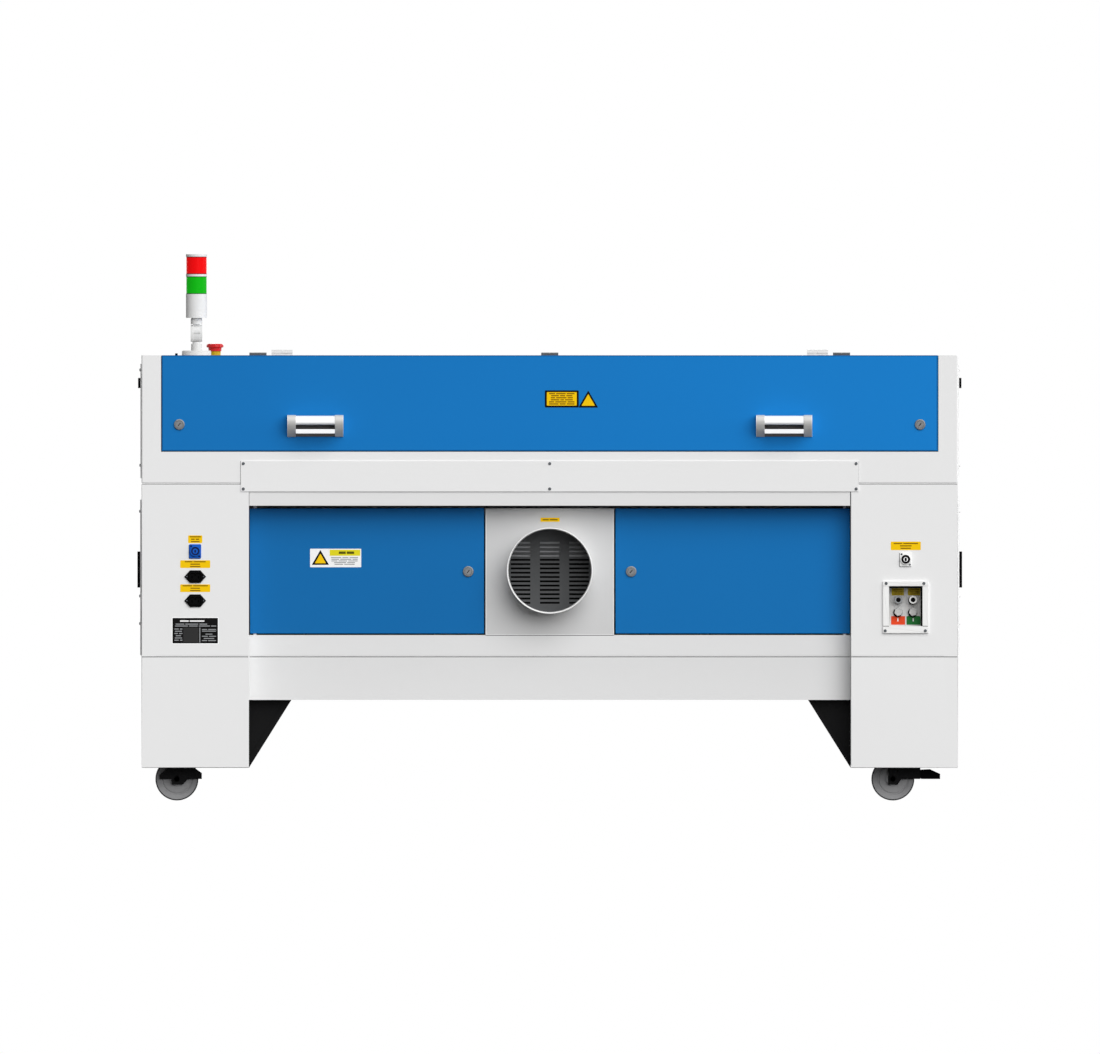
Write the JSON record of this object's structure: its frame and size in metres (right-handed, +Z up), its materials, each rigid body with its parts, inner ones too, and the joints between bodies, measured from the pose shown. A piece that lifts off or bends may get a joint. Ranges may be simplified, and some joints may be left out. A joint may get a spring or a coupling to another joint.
{
  "type": "carbon dioxide laser cutting machine",
  "caption": "Enclosed flat-bed laser cutter on two pedestals with casters: blue lid and rear cover, exhaust collar, rear doors, gantry, blade table and signal tower.",
  "frame": {"origin": "on the floor, under the middle of the whole machine", "axes": "+Z up, +X to the right of a user at the front, +Y towards the rear face"},
  "size_m": [1.919, 1.4645, 1.2711],
  "materials": {
    "white_paint": "satin powder coat",
    "blue_paint": "satin powder coat",
    "black_paint": "satin powder coat",
    "grey_paint": "satin powder coat",
    "dark_paint": "satin powder coat",
    "cream_paint": "satin powder coat",
    "case_paint": "textured powder coat",
    "head_paint": "anodised",
    "dark_screw": "blackened",
    "steel": "brushed",
    "zinc_steel": "zinc plated",
    "aluminium": "satin anodised",
    "lock_chrome": "satin chrome",
    "black_plastic": "fine grain",
    "white_plastic": "fine grain",
    "yellow_plastic": "fine grain",
    "blue_plastic": "fine grain",
    "panel_plastic": "fine grain",
    "red_plastic": "glossy",
    "green_lens": "ribbed, translucent",
    "red_lens": "ribbed, translucent",
    "wheel_rubber": "matt",
    "laser_glass": "clear",
    "amber_acrylic": "tinted, polished"
  },
  "bodies": {
    "housing": {"base_frame": "black_paint", "pedestal_right": "white_paint", "pedestal_left": "white_paint", "side_panels": "white_paint", "side_pulls": "black_plastic", "centre_box": "white_paint", "exhaust_panel": "grey_paint", "exhaust_grille": "dark_paint", "exhaust_spigot": "cream_paint", "joint_plate": "white_paint", "upper_housing": "white_paint", "lid_supports": "white_paint", "screws": "dark_screw", "hinge_leaves": "steel", "power_connectors": "blue_plastic", "service_sockets": "black_plastic", "port_tray": "white_plastic", "port_fittings": "steel", "tower_foot": "white_plastic", "estop_base": "yellow_plastic", "control_panel": "panel_plastic", "laser_tube": "laser_glass", "tube_mounts": "aluminium", "electrical_units": "case_paint", "gantry_rails": "aluminium", "table_blades": "steel", "caster_mounts": "zinc_steel"},
    "rear_cover": {"rear_cover": "blue_paint", "cover_handles": "aluminium"},
    "cover_lock_right": {"cover_lock_right": "lock_chrome"},
    "cover_lock_left": {"cover_lock_left": "lock_chrome"},
    "rear_door_right": {"rear_door_right": "blue_paint"},
    "rear_door_left": {"rear_door_left": "blue_paint"},
    "door_lock_right": {"door_lock_right": "lock_chrome"},
    "door_lock_left": {"door_lock_left": "lock_chrome"},
    "lid": {"lid": "blue_paint", "lid_window": "amber_acrylic"},
    "strut_tube_right": {"strut_tube_right": "black_paint"},
    "strut_tube_left": {"strut_tube_left": "black_paint"},
    "strut_rod_right": {"strut_rod_right": "steel"},
    "strut_rod_left": {"strut_rod_left": "steel"},
    "gantry": {"gantry_beam": "aluminium"},
    "laser_head": {"laser_head": "head_paint"},
    "nozzle": {"nozzle": "steel"},
    "front_flap": {"front_flap": "blue_paint"},
    "debris_drawer": {"debris_drawer": "white_paint"},
    "tower": {"tower_column": "white_plastic", "tower_green": "green_lens", "tower_red": "red_lens"},
    "estop_button": {"estop_button": "red_plastic"},
    "fork_rear_right": {"fork_rear_right": "black_paint"},
    "wheel_rear_right": {"wheel_rear_right": "wheel_rubber"},
    "fork_rear_left": {"fork_rear_left": "black_paint"},
    "wheel_rear_left": {"wheel_rear_left": "wheel_rubber"},
    "brake_rear_left": {"brake_rear_left": "black_plastic"},
    "fork_front_right": {"fork_front_right": "black_paint"},
    "wheel_front_right": {"wheel_front_right": "wheel_rubber"},
    "fork_front_left": {"fork_front_left": "black_paint"},
    "wheel_front_left": {"wheel_front_left": "wheel_rubber"},
    "brake_front_left": {"brake_front_left": "black_plastic"}
  },
  "joints": [
    {"name": "rear_cover_hinge", "type": "hinge", "parent": "housing", "child": "rear_cover", "pos_m": [0, 0.62, 1.0392], "axis": [1, 0, 0], "range_deg": [0, 90]},
    {"name": "cover_lock_right_turn", "type": "hinge", "parent": "rear_cover", "child": "cover_lock_right", "pos_m": [0.862, 0.7, 0.875], "axis": [0, -1, 0], "range_deg": [0, 90]},
    {"name": "cover_lock_left_turn", "type": "hinge", "parent": "rear_cover", "child": "cover_lock_left", "pos_m": [-0.862, 0.7, 0.875], "axis": [0, 1, 0], "range_deg": [0, 90]},
    {"name": "rear_door_right_hinge", "type": "hinge", "parent": "housing", "child": "rear_door_right", "pos_m": [0.686, 0.638, 0.534], "axis": [0, 0, -1], "range_deg": [0, 95]},
    {"name": "door_lock_right_turn", "type": "hinge", "parent": "rear_door_right", "child": "door_lock_right", "pos_m": [0.1895, 0.645, 0.533], "axis": [0, 1, 0], "range_deg": [0, 90]},
    {"name": "rear_door_left_hinge", "type": "hinge", "parent": "housing", "child": "rear_door_left", "pos_m": [-0.686, 0.638, 0.534], "axis": [0, 0, 1], "range_deg": [0, 95]},
    {"name": "door_lock_left_turn", "type": "hinge", "parent": "rear_door_left", "child": "door_lock_left", "pos_m": [-0.1895, 0.645, 0.533], "axis": [0, -1, 0], "range_deg": [0, 90]},
    {"name": "lid_hinge", "type": "hinge", "parent": "housing", "child": "lid", "pos_m": [0, 0.30075, 1.0424], "axis": [-1, 0, 0], "range_deg": [0, 60]},
    {"name": "strut_right_pivot", "type": "hinge", "parent": "housing", "child": "strut_tube_right", "pos_m": [0.694, 0.21, 0.955], "axis": [-1, 0, 0], "range_deg": [0, 63]},
    {"name": "strut_right_stroke", "type": "slide", "parent": "strut_tube_right", "child": "strut_rod_right", "axis": [0, -0.9923, 0.124], "range_m": [0, 0.126]},
    {"name": "strut_left_pivot", "type": "hinge", "parent": "housing", "child": "strut_tube_left", "pos_m": [-0.694, 0.21, 0.955], "axis": [-1, 0, 0], "range_deg": [0, 63]},
    {"name": "strut_left_stroke", "type": "slide", "parent": "strut_tube_left", "child": "strut_rod_left", "axis": [0, -0.9923, 0.124], "range_m": [0, 0.126]},
    {"name": "gantry_slide", "type": "slide", "parent": "housing", "child": "gantry", "axis": [0, 1, 0], "range_m": [-0.38, 0.48]},
    {"name": "head_slide", "type": "slide", "parent": "gantry", "child": "laser_head", "axis": [1, 0, 0], "range_m": [-0.45, 0.75]},
    {"name": "nozzle_slide", "type": "slide", "parent": "laser_head", "child": "nozzle", "axis": [0, 0, 1], "range_m": [-0.008, 0.015]},
    {"name": "front_flap_hinge", "type": "hinge", "parent": "housing", "child": "front_flap", "pos_m": [0, -0.7032, 0.756], "axis": [1, 0, 0], "range_deg": [0, 90]},
    {"name": "drawer_slide", "type": "slide", "parent": "housing", "child": "debris_drawer", "axis": [0, -1, 0], "range_m": [0, 0.6]},
    {"name": "tower_fold", "type": "hinge", "parent": "housing", "child": "tower", "pos_m": [0.822, -0.06, 1.093], "axis": [1, 0, 0], "range_deg": [0, 90]},
    {"name": "estop_press", "type": "slide", "parent": "housing", "child": "estop_button", "axis": [0, 0, -1], "range_m": [0, 0.0038], "stiffness_N_per_m": 1500},
    {"name": "swivel_rear_right", "type": "hinge", "parent": "housing", "child": "fork_rear_right", "pos_m": [0.833, 0.59, 0.113], "axis": [0, 0, 1], "continuous": true},
    {"name": "roll_rear_right", "type": "hinge", "parent": "fork_rear_right", "child": "wheel_rear_right", "pos_m": [0.8676, 0.59, 0.05], "axis": [0, 1, 0], "continuous": true},
    {"name": "swivel_rear_left", "type": "hinge", "parent": "housing", "child": "fork_rear_left", "pos_m": [-0.833, 0.59, 0.113], "axis": [0, 0, 1], "continuous": true},
    {"name": "roll_rear_left", "type": "hinge", "parent": "fork_rear_left", "child": "wheel_rear_left", "pos_m": [-0.7984, 0.59, 0.05], "axis": [0, 1, 0], "continuous": true},
    {"name": "brake_rear_left_pedal", "type": "hinge", "parent": "fork_rear_left", "child": "brake_rear_left", "pos_m": [-0.8544, 0.59, 0.066], "axis": [0, 1, 0], "range_deg": [0, 18]},
    {"name": "swivel_front_right", "type": "hinge", "parent": "housing", "child": "fork_front_right", "pos_m": [0.833, -0.59, 0.113], "axis": [0, 0, 1], "continuous": true},
    {"name": "roll_front_right", "type": "hinge", "parent": "fork_front_right", "child": "wheel_front_right", "pos_m": [0.8676, -0.59, 0.05], "axis": [0, 1, 0], "continuous": true},
    {"name": "swivel_front_left", "type": "hinge", "parent": "housing", "child": "fork_front_left", "pos_m": [-0.833, -0.59, 0.113], "axis": [0, 0, 1], "continuous": true},
    {"name": "roll_front_left", "type": "hinge", "parent": "fork_front_left", "child": "wheel_front_left", "pos_m": [-0.7984, -0.59, 0.05], "axis": [0, 1, 0], "continuous": true},
    {"name": "brake_front_left_pedal", "type": "hinge", "parent": "fork_front_left", "child": "brake_front_left", "pos_m": [-0.8544, -0.59, 0.066], "axis": [0, 1, 0], "range_deg": [0, 18]}
  ],
  "couplings": [
    {"joint": "strut_right_pivot", "follows": "lid_hinge", "ratio": 1.0384},
    {"joint": "strut_right_stroke", "follows": "lid_hinge", "m_per_rad": 0.11927},
    {"joint": "strut_left_pivot", "follows": "lid_hinge", "ratio": 1.0384},
    {"joint": "strut_left_stroke", "follows": "lid_hinge", "m_per_rad": 0.11927}
  ]
}
